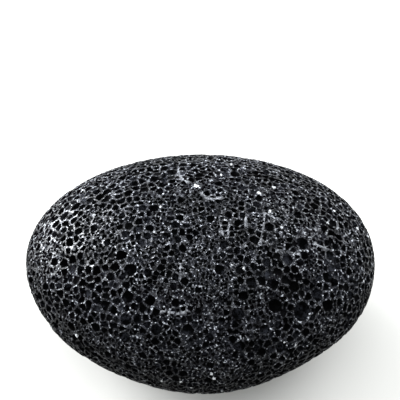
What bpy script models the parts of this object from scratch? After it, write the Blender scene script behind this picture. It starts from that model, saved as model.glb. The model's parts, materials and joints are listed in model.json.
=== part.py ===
"""Pumice stone: one ovoid of dark volcanic foam, tumbled smooth and open all over with gas pores.

The stone lies on its broad side. +X is its length, +Y its breadth, +Z up, and the origin is
under its middle on the surface that it rests on. Sizes are in metres.
"""

import math
import random

import bmesh
import bpy
from mathutils import Matrix, Vector

# The stone as tumbled, before its underside wore flat.
LENGTH = 0.096
BREADTH = 0.072
THICKNESS = 0.050
WORN_DEPTH = 0.0007  # how much the flat spot underneath has lost
STONE_ROUNDS = 4  # subdivisions of the ball that the stone is shaped from

# How its outline differs from a plain ellipse, as shares of the half length.
BACK_FULLER = 0.097
ENDS_BLUNTER = -0.050
TOP_FULLER = 0.015

# Low swellings (and hollows, below zero): bearing and rise of the middle, reach, height.
# Bearings run anticlockwise from +X seen from above, rises up from the middle plane, in degrees.
SWELLINGS = (
    (-120.0, -30.0, 26.0, -0.0008),
    (-143.0, -8.0, 20.0, 0.0005),
    (35.0, 22.0, 30.0, 0.0005),
    (-24.0, -8.0, 18.0, 0.0010),
    (-54.0, -14.0, 18.0, -0.0003),
    (60.0, -35.0, 30.0, -0.0007),
    (150.0, -30.0, 28.0, 0.0004),
)

# The broad pores of the face: bearing and rise in degrees, then width and height in metres.
FACE_PORES = (
    (-133, 57, 0.0027, 0.0045),
    (-123, 59, 0.0022, 0.0025),
    (-139, 50, 0.0030, 0.0022),
    (-132, 38, 0.0025, 0.0027),
    (-125, 46, 0.0032, 0.0031),
    (-121, 36, 0.0039, 0.0032),
    (-116, 44, 0.0026, 0.0020),
    (-110, 44, 0.0026, 0.0020),
    (-119, 27, 0.0036, 0.0030),
    (-108, 36, 0.0036, 0.0024),
    (-95, 38, 0.0034, 0.0027),
    (-91, 56, 0.0023, 0.0020),
    (-91, 47, 0.0022, 0.0020),
    (-102, 19, 0.0022, 0.0020),
    (-111, 20, 0.0025, 0.0021),
    (-86, 34, 0.0024, 0.0022),
    (-17, 55, 0.0041, 0.0027),
    (-34, 70, 0.0024, 0.0029),
    (-12, 68, 0.0021, 0.0041),
    (36, 60, 0.0025, 0.0020),
    (-16, 43, 0.0032, 0.0022),
    (-27, 38, 0.0037, 0.0025),
    (-54, 61, 0.0021, 0.0026),
    (-63, 62, 0.0020, 0.0032),
    (-76, 64, 0.0030, 0.0030),
    (-61, 55, 0.0034, 0.0026),
    (-43, 45, 0.0025, 0.0032),
    (-37, 36, 0.0025, 0.0045),
    (-51, 51, 0.0032, 0.0032),
    (-56, 42, 0.0038, 0.0042),
    (-47, 33, 0.0057, 0.0052),
    (-36, 27, 0.0024, 0.0050),
    (-68, 51, 0.0025, 0.0029),
    (-73, 44, 0.0034, 0.0034),
    (-64, 33, 0.0023, 0.0037),
    (-49, 22, 0.0024, 0.0023),
    (-60, 20, 0.0030, 0.0030),
    (-62, 7, 0.0023, 0.0029),
    (-75, 28, 0.0037, 0.0025),
)

# The pores all over the rest of it.
SEED = 7
OTHER_PORES = 188
TRIES = 20000
SMALL_PORE = 0.0023  # width
BROAD_PORE = 0.0048
FACE_WALL = 0.0005  # the least that is left between two broad pores of the face
OTHER_WALL = 0.0028  # and round every other pore, which spreads them evenly
LEAST_STRETCH, MOST_STRETCH = 0.80, 1.20
SHALLOW, DEEP = 0.75, 1.15  # depth as a share of half the mean width
PORE_LIFT = 0.15  # how far a pore's middle stands out of the surface, as a share of its depth
SMALL_PORE_SIDES, SMALL_PORE_RINGS = 7, 3
BROAD_PORE_SIDES, BROAD_PORE_RINGS = 8, 4
BROAD_FROM = 0.0031  # mean width from which a pore gets the finer ball
FLAT_SPOT_Z = -0.90  # no pore starts where a direction from the middle points further down
FACE_BEARING, FACE_RISE = -90, 56  # the way that the face with the listed pores looks
FACE_EDGE = 0.15  # cosine of the angle from there at which the face ends
FACE_SPREAD = 0.12  # how much of the spread of sizes the unlisted pores of the face have

STONE_GREY = (0.045, 0.047, 0.053, 1.0)
STONE_ROUGHNESS = 0.82
NODE_NAME = "pumice_stone"


def direction(bearing, rise):
    """The unit vector of a bearing and a rise, in degrees."""
    turn, lift = math.radians(bearing), math.radians(rise)
    return Vector((math.cos(turn) * math.cos(lift), math.sin(turn) * math.cos(lift), math.sin(lift)))


def stone_skin(way):
    """The point of the tumbled surface that belongs to a unit vector, over the rest plane."""
    width = 1 + BACK_FULLER * way.y + ENDS_BLUNTER * way.y**2 + TOP_FULLER * way.z
    swell = sum(
        height * math.exp(-((math.degrees(way.angle(direction(bearing, rise))) / reach) ** 2))
        for bearing, rise, reach, height in SWELLINGS
    )
    point = Vector((LENGTH / 2 * way.x * width, BREADTH / 2 * way.y, THICKNESS / 2 * way.z))
    return point + swell * way + Vector((0, 0, THICKNESS / 2 - WORN_DEPTH))


def outward(way):
    """The normal of the surface there, near enough for placing a pore.

    Its length is the surface's area for one bit of solid angle, as a share of that on top.
    """
    return Vector((way.x * THICKNESS / LENGTH, way.y * THICKNESS / BREADTH, way.z))


def all_pores():
    """Every pore as (direction, width, height, depth), the face's first, with a wall round each."""
    dice = random.Random(SEED)
    pores = []
    middles = []

    def add(way, width, height, wall):
        mean = (width + height) / 2
        here = stone_skin(way)
        for there, (_, wide, high, _) in zip(middles, pores):
            if (here - there).length < (mean + (wide + high) / 2) / 2 + wall:
                return
        middles.append(here)
        pores.append((way, width, height, mean / 2 * dice.uniform(SHALLOW, DEEP)))

    for bearing, rise, width, height in FACE_PORES:
        add(direction(bearing, rise), width, height, FACE_WALL)
    of_the_face = len(pores)
    for _ in range(TRIES):
        if len(pores) == of_the_face + OTHER_PORES:
            break
        way = direction(dice.uniform(-180, 180), math.degrees(math.asin(dice.uniform(-1, 1))))
        evenly = dice.random() < outward(way).length
        on_face = outward(way).normalized().dot(direction(FACE_BEARING, FACE_RISE)) > FACE_EDGE
        spread = (BROAD_PORE - SMALL_PORE) * (FACE_SPREAD if on_face else 1)
        size = SMALL_PORE + spread * dice.random() ** 2.2
        stretch = dice.uniform(LEAST_STRETCH, MOST_STRETCH)
        if evenly and way.z > FLAT_SPOT_Z:
            add(way, size * stretch, size / stretch, OTHER_WALL)
    return pores


def link(name, mesh, collection):
    """A new object of this mesh in this collection."""
    body = bpy.data.objects.new(name, mesh)
    collection.objects.link(body)
    return body


def make_stone(collection):
    """The closed, smooth stone, worn flat where it rests."""
    bpy.ops.mesh.primitive_ico_sphere_add(subdivisions=STONE_ROUNDS, radius=1.0)
    ball = bpy.context.object
    shape = bmesh.new()
    shape.from_mesh(ball.data)
    for vertex in shape.verts:
        vertex.co = stone_skin(vertex.co.normalized())
    everything = shape.verts[:] + shape.edges[:] + shape.faces[:]
    cut = bmesh.ops.bisect_plane(
        shape, geom=everything, plane_co=(0, 0, 0), plane_no=(0, 0, -1), clear_outer=True
    )
    rim = [item for item in cut["geom_cut"] if isinstance(item, bmesh.types.BMEdge)]
    bmesh.ops.contextual_create(shape, geom=rim)
    bmesh.ops.recalc_face_normals(shape, faces=shape.faces)
    mesh = bpy.data.meshes.new(NODE_NAME)
    shape.to_mesh(mesh)
    shape.free()
    bpy.data.objects.remove(ball)
    return link(NODE_NAME, mesh, collection)


def make_pore_cutter(collection):
    """One closed ball for each pore, its axis along the surface's normal, all in one mesh."""
    shape = bmesh.new()
    for way, width, height, depth in all_pores():
        normal = outward(way).normalized()
        across = Vector((0, 0, 1)).cross(normal).normalized()
        upward = normal.cross(across)
        turn = Matrix((across, upward, normal)).transposed().to_4x4()
        middle = Matrix.Translation(stone_skin(way) + PORE_LIFT * depth * normal)
        size = Matrix.Diagonal((width / 2, height / 2, depth, 1))
        broad = (width + height) / 2 > BROAD_FROM
        bmesh.ops.create_uvsphere(
            shape,
            u_segments=BROAD_PORE_SIDES if broad else SMALL_PORE_SIDES,
            v_segments=BROAD_PORE_RINGS if broad else SMALL_PORE_RINGS,
            radius=1.0,
            matrix=middle @ turn @ size,
        )
    mesh = bpy.data.meshes.new("pore_cutter")
    shape.to_mesh(mesh)
    shape.free()
    cutter = link("pore_cutter", mesh, collection)
    cutter.hide_render = True
    cutter.display_type = "WIRE"
    return cutter


def stone_material():
    """Charcoal-grey, dull volcanic glass."""
    material = bpy.data.materials.new("vesicular_lava")
    material.use_nodes = True
    shader = material.node_tree.nodes["Principled BSDF"]
    shader.inputs["Base Color"].default_value = STONE_GREY
    shader.inputs["Roughness"].default_value = STONE_ROUGHNESS
    shader.inputs["Metallic"].default_value = 0.0
    return material


def main():
    """Builds the stone and opens its pores."""
    for leftover in list(bpy.data.objects):
        bpy.data.objects.remove(leftover)
    collections = {}
    for name in ("pumice_stone_parts", "cutters"):
        collections[name] = bpy.data.collections.new(name)
        bpy.context.scene.collection.children.link(collections[name])
    stone = make_stone(collections["pumice_stone_parts"])
    pores = stone.modifiers.new("pores", "BOOLEAN")
    pores.operation = "DIFFERENCE"
    pores.solver = "EXACT"
    pores.object = make_pore_cutter(collections["cutters"])
    stone.data.materials.append(stone_material())


main()
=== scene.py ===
"""The looks of a pumice stone: dark volcanic froth, cut open all over by tumbling."""

import json
import logging
import math
import random
from collections import defaultdict
from dataclasses import dataclass
from enum import Enum
from itertools import product

import bpy
import numpy as np
from mathutils import Euler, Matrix, Vector, kdtree, noise

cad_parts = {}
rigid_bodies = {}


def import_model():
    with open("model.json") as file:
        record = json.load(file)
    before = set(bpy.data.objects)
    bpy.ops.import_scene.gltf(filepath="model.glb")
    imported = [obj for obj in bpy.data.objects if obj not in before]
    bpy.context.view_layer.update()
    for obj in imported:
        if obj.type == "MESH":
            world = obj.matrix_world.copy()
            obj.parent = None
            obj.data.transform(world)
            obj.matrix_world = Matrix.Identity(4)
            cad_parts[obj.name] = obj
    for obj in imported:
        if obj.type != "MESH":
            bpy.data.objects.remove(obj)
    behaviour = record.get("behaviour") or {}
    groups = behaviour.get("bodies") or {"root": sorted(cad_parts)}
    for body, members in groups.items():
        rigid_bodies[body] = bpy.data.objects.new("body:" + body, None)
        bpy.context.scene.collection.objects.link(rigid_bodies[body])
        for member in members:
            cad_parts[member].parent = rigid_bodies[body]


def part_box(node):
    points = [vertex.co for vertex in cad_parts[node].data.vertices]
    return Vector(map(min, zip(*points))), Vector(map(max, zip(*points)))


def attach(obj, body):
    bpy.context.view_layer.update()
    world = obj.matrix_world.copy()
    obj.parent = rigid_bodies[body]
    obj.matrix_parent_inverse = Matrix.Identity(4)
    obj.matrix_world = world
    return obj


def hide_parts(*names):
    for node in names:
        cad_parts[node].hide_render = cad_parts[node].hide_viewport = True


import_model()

NODE = "pumice_stone"
BODY = "root"
MM = 0.001
log = logging.getLogger("pumice_stone")


def direction(bearing: float, rise: float) -> np.ndarray:
    """A unit vector from degrees anticlockwise from +X, seen from above, and degrees up from level."""
    turn, lift = math.radians(bearing), math.radians(rise)
    return np.array((math.cos(turn) * math.cos(lift), math.sin(turn) * math.cos(lift), math.sin(lift)))


def smooth_step(values: np.ndarray, low: float, high: float) -> np.ndarray:
    """Eases values from 0 at low to 1 at high."""
    share = np.clip((values - low) / (high - low), 0.0, 1.0)
    return share * share * (3.0 - 2.0 * share)


def unit_rows(rows: np.ndarray) -> np.ndarray:
    """Scales every row to length 1."""
    return rows / np.linalg.norm(rows, axis=1, keepdims=True)


def soft_noise(points: np.ndarray, size: float, finer: float = 1.0) -> np.ndarray:
    """Smooth noise round 0 at these points, in lumps of about this size."""
    return np.array([noise.noise(Vector(point) / size * finer) for point in points])


def read_points(mesh: bpy.types.Mesh) -> np.ndarray:
    """Reads where the vertices of a mesh are.

    Args:
        mesh: the mesh.

    Returns:
        One point a row.
    """
    values = np.empty(len(mesh.vertices) * 3)
    mesh.vertices.foreach_get("co", values)
    return values.reshape(-1, 3)


def write_points(mesh: bpy.types.Mesh, points: np.ndarray) -> None:
    """Moves the mesh's vertices to these points, one a row."""
    mesh.vertices.foreach_set("co", points.ravel())
    mesh.update()


def add_attribute(mesh: bpy.types.Mesh, name: str, values: np.ndarray) -> None:
    """Gives every vertex of the mesh a number under this name."""
    note = mesh.attributes.new(name, "FLOAT", "POINT")
    note.data.foreach_set("value", values.astype(np.float32))


def tree_of(points: np.ndarray) -> kdtree.KDTree:
    """Makes a tree that finds the nearest of some points.

    Args:
        points: one point a row.

    Returns:
        The tree, which knows each point by its row.
    """
    tree = kdtree.KDTree(len(points))
    for row, point in enumerate(points):
        tree.insert(point, row)
    tree.balance()
    return tree


def joined(name: str, points: np.ndarray, faces: list[tuple[int, ...]]) -> bpy.types.Object:
    """Makes one object of many closed shapes.

    Args:
        name: what the object and its mesh are called.
        points: the points of all the shapes, one a row.
        faces: the faces of all the shapes, as indices of points.

    Returns:
        The new object, in the scene.
    """
    mesh = bpy.data.meshes.new(name)
    mesh.from_pydata(points.tolist(), [], faces)
    mesh.update()
    shapes = bpy.data.objects.new(name, mesh)
    bpy.context.scene.collection.objects.link(shapes)
    return shapes


def add_ball(rounds: int) -> bpy.types.Object:
    """Adds a ball of radius 1.

    Args:
        rounds: how often it is subdivided.

    Returns:
        The ball's object.
    """
    bpy.ops.object.select_all(action="DESELECT")
    bpy.ops.mesh.primitive_ico_sphere_add(subdivisions=rounds, radius=1.0)
    return bpy.context.object


def ball_pattern(rounds: int) -> tuple[np.ndarray, np.ndarray]:
    """Models a ball of radius 1 from which many small shapes are stretched.

    Args:
        rounds: how often it is subdivided.

    Returns:
        Its points, one a row, and its triangles as rows of indices.
    """
    ball = add_ball(rounds)
    points = read_points(ball.data)
    faces = np.array([tuple(face.vertices) for face in ball.data.polygons])
    bpy.data.objects.remove(ball)
    return points, faces


def joined_copies(name: str, copies: list[np.ndarray], faces: np.ndarray) -> bpy.types.Object:
    """A new object that holds copies of one pattern, given the points of each."""
    steps = np.arange(len(copies))[:, None, None] * len(copies[0])
    return joined(name, np.vstack(copies), (faces[None] + steps).reshape(-1, 3).tolist())


@dataclass(frozen=True)
class Spot:
    """A round part of the surface that fades out towards its edge; angles are in degrees."""

    bearing: float
    rise: float
    reach: float

    def nearness(self, ways: np.ndarray) -> np.ndarray:
        """How near unit vectors are: 1 in the spot's middle, and less and less away from it."""
        angle = np.degrees(np.arccos(np.clip(ways @ direction(self.bearing, self.rise), -1, 1)))
        return np.exp(-((angle / self.reach) ** 2))


@dataclass(frozen=True)
class Swelling(Spot):
    """A low swelling of the stone, or a hollow where its height is below zero."""

    height: float


@dataclass(frozen=True)
class Patch(Spot):
    """A part of the surface where the froth is finer, below 1, or coarser, above 1."""

    factor: float


@dataclass(frozen=True)
class StoneForm:
    """The tumbled outside of the stone, in metres, round its own middle."""

    length: float = 0.096
    breadth: float = 0.072
    thickness: float = 0.050
    worn_depth: float = 0.0007
    back_fuller: float = 0.097
    ends_blunter: float = -0.050
    top_fuller: float = 0.015
    steep: float = 0.9
    probe: float = 1e-4
    locate_rounds: int = 4
    swellings: tuple[Swelling, ...] = (
        Swelling(-120.0, -30.0, 26.0, -0.0008),
        Swelling(-143.0, -8.0, 20.0, 0.0005),
        Swelling(35.0, 22.0, 30.0, 0.0005),
        Swelling(-24.0, -8.0, 18.0, 0.0010),
        Swelling(-54.0, -14.0, 18.0, -0.0003),
        Swelling(60.0, -35.0, 30.0, -0.0007),
        Swelling(150.0, -30.0, 28.0, 0.0004),
    )

    @property
    def middle_height(self) -> float:
        """How high the stone's middle is over the surface that it rests on."""
        return self.thickness / 2 - self.worn_depth

    @property
    def _half(self) -> np.ndarray:
        """Half the length, breadth and thickness."""
        return np.array((self.length, self.breadth, self.thickness)) / 2

    def _width(self, ways: np.ndarray) -> np.ndarray:
        """The share by which the length grows or shrinks towards the back, the ends and the top."""
        back, up = ways[:, 1], ways[:, 2]
        return 1 + self.back_fuller * back + self.ends_blunter * back**2 + self.top_fuller * up

    def skin(self, ways: np.ndarray) -> np.ndarray:
        """Finds points of the surface without its swellings.

        Args:
            ways: one unit vector a row.

        Returns:
            The point that belongs to each, from the stone's middle.
        """
        points = ways * self._half
        points[:, 0] *= self._width(ways)
        return points

    def _slope(self, ways: np.ndarray, aside: np.ndarray) -> np.ndarray:
        """How the surface runs at these unit vectors, in these directions across them."""
        step = self.probe * aside
        return self.skin(unit_rows(ways + step)) - self.skin(unit_rows(ways - step))

    def normals(self, ways: np.ndarray) -> np.ndarray:
        """Finds which way the surface looks at these unit vectors.

        Args:
            ways: one unit vector a row.

        Returns:
            One outward unit normal a row.
        """
        axis = np.where(np.abs(ways[:, 2:]) < self.steep, [[0, 0, 1.0]], [[1.0, 0, 0]])
        aside = unit_rows(np.cross(ways, axis))
        return unit_rows(np.cross(self._slope(ways, aside), self._slope(ways, np.cross(ways, aside))))

    def locate(self, points: np.ndarray) -> tuple[np.ndarray, np.ndarray]:
        """Finds where points lie under the surface without its swellings.

        Args:
            points: one point a row, from the stone's middle.

        Returns:
            Their unit vectors, and their depths under the surface.
        """
        ways = unit_rows(points / self._half)
        for _ in range(self.locate_rounds):
            shares = points / self._half
            shares[:, 0] /= self._width(ways)
            ways = unit_rows(shares)
        out = np.linalg.norm(shares, axis=1)
        reach = np.einsum("ij,ij->i", self.skin(ways), self.normals(ways))
        return ways, (1 - out) * reach

    def swell(self, ways: np.ndarray) -> np.ndarray:
        """How far the swellings lift the surface at these unit vectors."""
        return sum(bump.height * bump.nearness(ways) for bump in self.swellings)


class PoreKind(Enum):
    """How finely a bubble is made: its most sides, corner roundings, and each ring's depth and width."""

    FINE = (6, 0, ((0.62, 0.86),))
    MIDDLE = (9, 1, ((0.45, 0.95), (0.85, 0.62)))
    BROAD = (13, 1, ((0.35, 0.97), (0.65, 0.86), (0.90, 0.52)))

    @property
    def sides(self) -> int:
        """The most sides the bubble has."""
        return self.value[0]

    @property
    def roundings(self) -> int:
        """How often its corners are cut."""
        return self.value[1]

    @property
    def rings(self) -> tuple[tuple[float, float], ...]:
        """The rings under the surface, as shares of the bubble's depth and width."""
        return self.value[2]


@dataclass
class Bubbles:
    """Gas bubbles that reach the surface, one a row."""

    ways: np.ndarray
    widths: np.ndarray
    heights: np.ndarray
    depths: np.ndarray

    @property
    def radii(self) -> np.ndarray:
        """Half the mean of width and height."""
        return (self.widths + self.heights) / 4


@dataclass(frozen=True)
class BroadPores:
    """The pores that are broad enough to be seen one by one, from a list and from a rule.

    The list gives bearing, rise, width and height; the rule spreads the others evenly.
    """

    form: StoneForm
    face_pores: tuple[tuple[float, float, float, float], ...] = (
        (-133, 57, 0.0027, 0.0045),
        (-123, 59, 0.0022, 0.0025),
        (-139, 50, 0.0030, 0.0022),
        (-132, 38, 0.0025, 0.0027),
        (-125, 46, 0.0032, 0.0031),
        (-121, 36, 0.0039, 0.0032),
        (-116, 44, 0.0026, 0.0020),
        (-110, 44, 0.0026, 0.0020),
        (-119, 27, 0.0036, 0.0030),
        (-108, 36, 0.0036, 0.0024),
        (-95, 38, 0.0034, 0.0027),
        (-91, 56, 0.0023, 0.0020),
        (-91, 47, 0.0022, 0.0020),
        (-102, 19, 0.0022, 0.0020),
        (-111, 20, 0.0025, 0.0021),
        (-86, 34, 0.0024, 0.0022),
        (-17, 55, 0.0041, 0.0027),
        (-34, 70, 0.0024, 0.0029),
        (-12, 68, 0.0021, 0.0041),
        (36, 60, 0.0025, 0.0020),
        (-16, 43, 0.0032, 0.0022),
        (-27, 38, 0.0037, 0.0025),
        (-54, 61, 0.0021, 0.0026),
        (-63, 62, 0.0020, 0.0032),
        (-76, 64, 0.0030, 0.0030),
        (-61, 55, 0.0034, 0.0026),
        (-43, 45, 0.0025, 0.0032),
        (-37, 36, 0.0025, 0.0045),
        (-51, 51, 0.0032, 0.0032),
        (-56, 42, 0.0038, 0.0042),
        (-47, 33, 0.0057, 0.0052),
        (-36, 27, 0.0024, 0.0050),
        (-68, 51, 0.0025, 0.0029),
        (-73, 44, 0.0034, 0.0034),
        (-64, 33, 0.0023, 0.0037),
        (-49, 22, 0.0024, 0.0023),
        (-60, 20, 0.0030, 0.0030),
        (-62, 7, 0.0023, 0.0029),
        (-75, 28, 0.0037, 0.0025),
    )
    seed: int = 7
    others: int = 188
    tries: int = 20000
    small: float = 0.0023
    broad: float = 0.0048
    rarity: float = 2.2
    face_wall: float = 0.0005
    other_wall: float = 0.0028
    least_stretch: float = 0.80
    most_stretch: float = 1.20
    shallow: float = 0.75
    deep: float = 1.15
    flat_spot_z: float = -0.90
    face_bearing: float = -90
    face_rise: float = 56
    face_edge: float = 0.15
    face_spread: float = 0.12

    def outward(self, way: np.ndarray) -> np.ndarray:
        """A rough normal, as long as the surface's area there, as a share of that on top."""
        form = self.form
        return way * np.array((form.thickness / form.length, form.thickness / form.breadth, 1.0))

    def make(self) -> Bubbles:
        """Draws the pores.

        Returns:
            The listed pores, then the others.
        """
        dice = random.Random(self.seed)
        pores: list[tuple[np.ndarray, float, float, float]] = []
        middles: list[np.ndarray] = []

        def add(way: np.ndarray, width: float, height: float, wall: float) -> None:
            """Keeps a pore where it stays clear of those before it.

            Args:
                way: the unit vector of its middle.
                width: how wide it is.
                height: how high it is.
                wall: the least that has to stay between it and any other.
            """
            mean = (width + height) / 2
            here = (self.form.skin(way[None]) + self.form.swell(way[None])[:, None] * way)[0]
            for there, (_, wide, high, _) in zip(middles, pores):
                if np.linalg.norm(here - there) < (mean + (wide + high) / 2) / 2 + wall:
                    return
            middles.append(here)
            pores.append((way, width, height, mean / 2 * dice.uniform(self.shallow, self.deep)))

        for bearing, rise, width, height in self.face_pores:
            add(direction(bearing, rise), width, height, self.face_wall)
        listed = len(pores)
        for _ in range(self.tries):
            if len(pores) == listed + self.others:
                break
            way = direction(dice.uniform(-180, 180), math.degrees(math.asin(dice.uniform(-1, 1))))
            normal = self.outward(way)
            area = float(np.linalg.norm(normal))
            evenly = dice.random() < area
            on_face = normal @ direction(self.face_bearing, self.face_rise) > self.face_edge * area
            spread = (self.broad - self.small) * (self.face_spread if on_face else 1)
            size = self.small + spread * dice.random() ** self.rarity
            stretch = dice.uniform(self.least_stretch, self.most_stretch)
            if evenly and way[2] > self.flat_spot_z:
                add(way, size * stretch, size / stretch, self.other_wall)
        ways, widths, heights, depths = zip(*pores)
        return Bubbles(np.array(ways), np.array(widths), np.array(heights), np.array(depths))


@dataclass(frozen=True)
class Ridges:
    """Long walls that run through the froth; each is a row of places, given as bearing and rise."""

    form: StoneForm
    rows: tuple[tuple[tuple[float, float], ...], ...] = (
        ((7, 70), (-11, 70), (-24, 69), (-36, 67)),
        ((7, 70), (3, 68), (0, 65)),
        ((91, 78), (72, 81), (57, 80)),
        ((-14, 84), (-45, 81), (-54, 78)),
        ((-16, 80), (-39, 79), (-52, 76)),
        ((0, 76), (-23, 75)),
        ((103, 58), (105, 65), (102, 71)),
        ((-108, 45), (-100, 45), (-95, 47)),
        ((-105, 67), (-103, 61)),
        ((-14, 51), (-13, 45)),
        ((-31, 61), (-26, 54)),
        ((150, 20), (144, 12), (147, 3)),
        ((80, 10), (92, 6), (97, -4)),
        ((25, -2), (33, -10)),
        ((-150, -15), (-141, -22)),
        ((120, -40), (104, -46)),
    )
    half_wall: float = 0.00013
    beside: float = 0.62
    glow: float = 0.00029
    glow_core: float = 0.5

    def stretches(self) -> list[tuple[np.ndarray, np.ndarray]]:
        """Splits the ridges into straight stretches.

        Returns:
            Both ends of every stretch, on the surface.
        """
        found = []
        for row in self.rows:
            places = self.form.skin(np.array([direction(*place) for place in row]))
            found.extend(zip(places[:-1], places[1:]))
        return found

    def distances(self, points: np.ndarray) -> np.ndarray:
        """Measures how far points are from the ridges.

        Args:
            points: one point a row.

        Returns:
            The distance of each from the nearest ridge.
        """
        nearest = np.full(len(points), np.inf)
        for start, end in self.stretches():
            along = end - start
            share = np.clip((points - start) @ along / (along @ along), 0, 1)
            nearest = np.minimum(nearest, np.linalg.norm(points - start - share[:, None] * along, axis=1))
        return nearest

    def marks(self, points: np.ndarray) -> np.ndarray:
        """A number for each point, from 1 on a ridge to 0 away from it."""
        return 1 - smooth_step(self.distances(points), self.glow_core * self.glow, self.glow)


@dataclass(frozen=True)
class Crystals:
    """Pale mineral grains: those on the top face are listed by bearing, rise and size, the others strewn."""

    form: StoneForm
    listed: tuple[tuple[float, float, float], ...] = (
        (94, 73, 0.0019),
        (37, 67, 0.0013),
        (40, 59, 0.0010),
        (78, 60, 0.0007),
        (75, 64, 0.0007),
        (-151, 74, 0.0008),
        (-17, 82, 0.0008),
        (74, 52, 0.0010),
        (68, 55, 0.0007),
        (10, 68, 0.0008),
        (-8, 64, 0.0011),
        (6, 58, 0.0010),
        (16, 41, 0.0009),
        (6, 46, 0.0012),
        (9, 29, 0.0010),
        (-60, 62, 0.0009),
        (-66, 65, 0.0009),
        (158, 77, 0.0007),
        (-168, 45, 0.0008),
        (-151, 48, 0.0008),
    )
    rounds: int = 1
    seed: int = 17
    strewn: int = 70
    sizes: tuple[float, float] = (0.0005, 0.0010)
    open_face: float = 25.0
    spread: float = 0.92
    leanest: float = 0.75
    thickness: float = 0.60
    sink: float = 0.35

    def make(self) -> tuple[np.ndarray, np.ndarray]:
        """Places the grains.

        Returns:
            Their middles on the surface, one a row, and their radii.
        """
        dice = np.random.default_rng(self.seed)
        ways = [direction(bearing, rise) for bearing, rise, _ in self.listed]
        radii = [size / 2 for _, _, size in self.listed]
        while len(ways) < len(self.listed) + self.strewn:
            way = unit_rows(dice.normal(size=(1, 3)))[0]
            size = dice.uniform(*self.sizes)
            if way[2] < math.sin(math.radians(self.open_face)):
                ways.append(way)
                radii.append(size / 2)
        return self.form.skin(np.array(ways)), np.array(radii)

    def chips(self) -> bpy.types.Object:
        """Models each grain as a small faceted chip that is sunk in the surface.

        Returns:
            The mesh object of all the chips.
        """
        dice = np.random.default_rng(self.seed + 1)
        shape, shape_faces = ball_pattern(self.rounds)
        middles, radii = self.make()
        normals = self.form.normals(self.form.locate(middles)[0])
        copies = []
        for middle, radius, normal in zip(middles, radii, normals):
            turned = shape @ np.array(Euler(dice.uniform(0, math.tau, 3)).to_matrix())
            flat = turned * self.spread * radius * (1, dice.uniform(self.leanest, 1), self.thickness)
            upright = np.array(Vector(normal).to_track_quat("Z", "Y").to_matrix())
            copies.append(flat @ upright.T + middle - self.sink * radius * normal)
        return joined_copies("chips", copies, shape_faces)


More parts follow.
